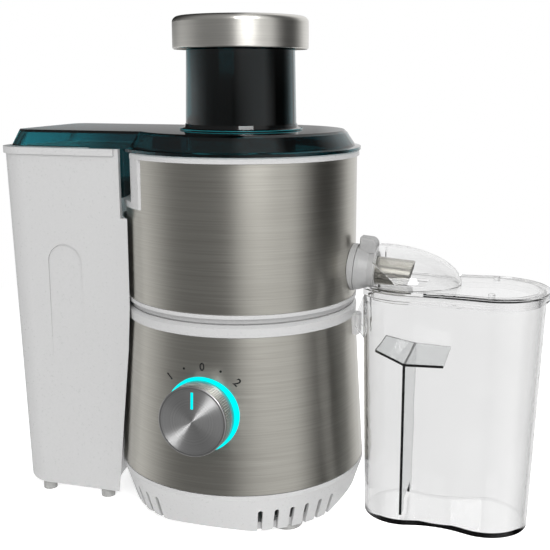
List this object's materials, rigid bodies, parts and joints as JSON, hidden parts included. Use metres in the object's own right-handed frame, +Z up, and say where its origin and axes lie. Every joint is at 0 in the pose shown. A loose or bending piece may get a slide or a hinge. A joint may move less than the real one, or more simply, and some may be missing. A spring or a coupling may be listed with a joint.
{
  "type": "centrifugal juicer",
  "caption": "Table-top centrifugal juicer: steel-clad motor base with a lit control knob, juice bowl with sieve basket, smoked lid with feed chute, side pulp bin and clear spout-side jug.",
  "frame": {"origin": "centre of the whole set's footprint, on the table", "axes": "+Z up, +X towards the spout and jug, -X towards the pulp bin, -Y towards the control knob"},
  "size_m": [0.3768, 0.1965, 0.3422],
  "materials": {
    "white_plastic": "satin moulded ABS",
    "brushed_steel": "brushed round the axis",
    "sieve_steel": "bright stamped stainless steel",
    "spun_aluminium": "spun face",
    "knob_metal": "fluted, satin",
    "grey_plastic": "satin moulded",
    "black_plastic": "moulded",
    "smoked_plastic": "smoked teal, glossy",
    "smoked_dark": "dark smoked, glossy",
    "clear_plastic": "clear, glossy",
    "clear_baffle": "clear, glossy",
    "basket_plastic": "satin moulded",
    "rubber": "matt grey",
    "glow_ring": "lit light guide",
    "motor_steel": "varnished laminations",
    "copper_wire": "enamelled copper",
    "cast_aluminium": "as cast",
    "bright_steel": "ground",
    "carbon": "sintered",
    "board": "solder mask",
    "pin_plastic": "moulded"
  },
  "bodies": {
    "base": {"base_housing": "white_plastic", "base_cladding": "brushed_steel", "base_skirt": "white_plastic", "rubber_feet": "rubber", "base_screws": "bright_steel", "jug_catch": "white_plastic", "cord_inlet": "black_plastic", "motor_stator": "motor_steel", "field_coils": "copper_wire", "motor_bracket_upper": "cast_aluminium", "motor_bracket_lower": "cast_aluminium", "motor_mounts": "rubber", "bearing_upper": "bright_steel", "bearing_lower": "bright_steel", "brush_holders": "black_plastic", "carbon_brushes": "carbon", "shaft_seal": "rubber", "light_ring": "glow_ring", "rotary_switch": "black_plastic", "led_board": "board", "control_board": "board", "terminal_block": "black_plastic", "interlock_switch": "black_plastic", "interlock_pin": "pin_plastic", "bowl_shell": "white_plastic", "bowl_cladding": "brushed_steel", "bowl_band": "grey_plastic", "spout_bush": "grey_plastic", "spout_nozzle": "brushed_steel", "spout_seal": "rubber"},
    "rotor": {"motor_shaft": "bright_steel", "armature_core": "motor_steel", "armature_windings": "copper_wire", "commutator": "copper_wire", "cooling_fan": "black_plastic", "drive_coupling": "black_plastic", "basket_hub": "basket_plastic", "filter_mesh": "sieve_steel", "basket_rim": "basket_plastic", "grater_disc": "sieve_steel", "clamp_nut": "black_plastic"},
    "knob": {"knob_body": "knob_metal", "knob_face": "spun_aluminium", "knob_pointer": "glow_ring", "switch_spindle": "black_plastic"},
    "lid": {"lid": "smoked_plastic", "lid_seal": "rubber"},
    "pusher": {"pusher_body": "smoked_dark", "pusher_cap_plate": "black_plastic", "pusher_cap": "brushed_steel"},
    "spout_collar": {"spout_collar": "grey_plastic"},
    "bin": {"pulp_bin": "white_plastic", "bin_feet": "rubber"},
    "jug": {"jug": "clear_plastic"},
    "jug_lid": {"jug_lid": "clear_plastic"},
    "separator": {"foam_separator": "clear_baffle"}
  },
  "joints": [
    {"name": "rotor_spin", "type": "hinge", "parent": "base", "child": "rotor", "pos_m": [-0.02435, 0.00525, 0.1], "axis": [0, 0, 1], "continuous": true},
    {"name": "knob_turn", "type": "hinge", "parent": "base", "child": "knob", "pos_m": [-0.02435, -0.07931, 0.0882], "axis": [0, -0.9979, 0.0653], "range_deg": [-45, 45]},
    {"name": "lid_lift", "type": "slide", "parent": "base", "child": "lid", "axis": [0, 0, 1], "range_m": [0, 0.09]},
    {"name": "pusher_lift", "type": "slide", "parent": "lid", "child": "pusher", "axis": [0, 0, 1], "range_m": [0, 0.12]},
    {"name": "collar_turn", "type": "hinge", "parent": "base", "child": "spout_collar", "pos_m": [0.05565, 0.00525, 0.1744], "axis": [0.9969, 0, -0.0785], "range_deg": [0, 60]},
    {"name": "bin_slide", "type": "slide", "parent": "base", "child": "bin", "axis": [-1, 0, 0], "range_m": [0, 0.1]},
    {"name": "jug_slide", "type": "slide", "parent": "base", "child": "jug", "axis": [1, 0, 0], "range_m": [0, 0.1]},
    {"name": "jug_lid_lift", "type": "slide", "parent": "jug", "child": "jug_lid", "axis": [0, 0, 1], "range_m": [0, 0.07]},
    {"name": "separator_lift", "type": "slide", "parent": "jug", "child": "separator", "axis": [0, 0, 1], "range_m": [0, 0.03]}
  ]
}
